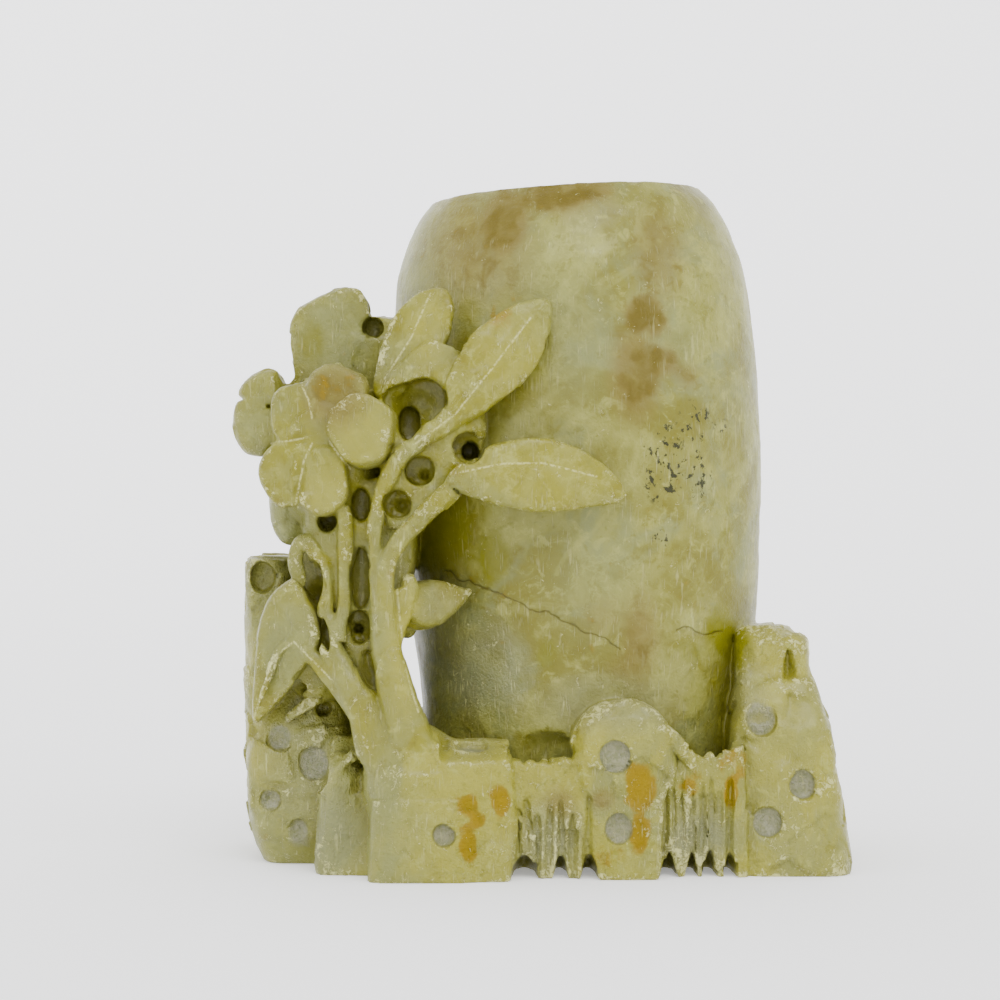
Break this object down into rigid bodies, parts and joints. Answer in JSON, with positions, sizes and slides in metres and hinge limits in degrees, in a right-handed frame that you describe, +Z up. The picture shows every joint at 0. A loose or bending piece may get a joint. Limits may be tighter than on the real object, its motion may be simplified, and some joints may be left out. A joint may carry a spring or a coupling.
{
  "type": "pen holder",
  "caption": "Hollow oval stone vessel for pens on a rocky base, carved from one block with a flowering branch in openwork at its front left.",
  "frame": {"origin": "middle of the vessel's foot, on the flat underside of the rocky base", "axes": "+Z up the vessel towards its lip, -Y towards the carved front, +X towards the tall rock on the right"},
  "size_m": [0.1057, 0.0681, 0.1186],
  "materials": {
    "soapstone": "satin"
  },
  "bodies": {
    "root": {"carved_pen_holder": "soapstone"}
  },
  "joints": []
}
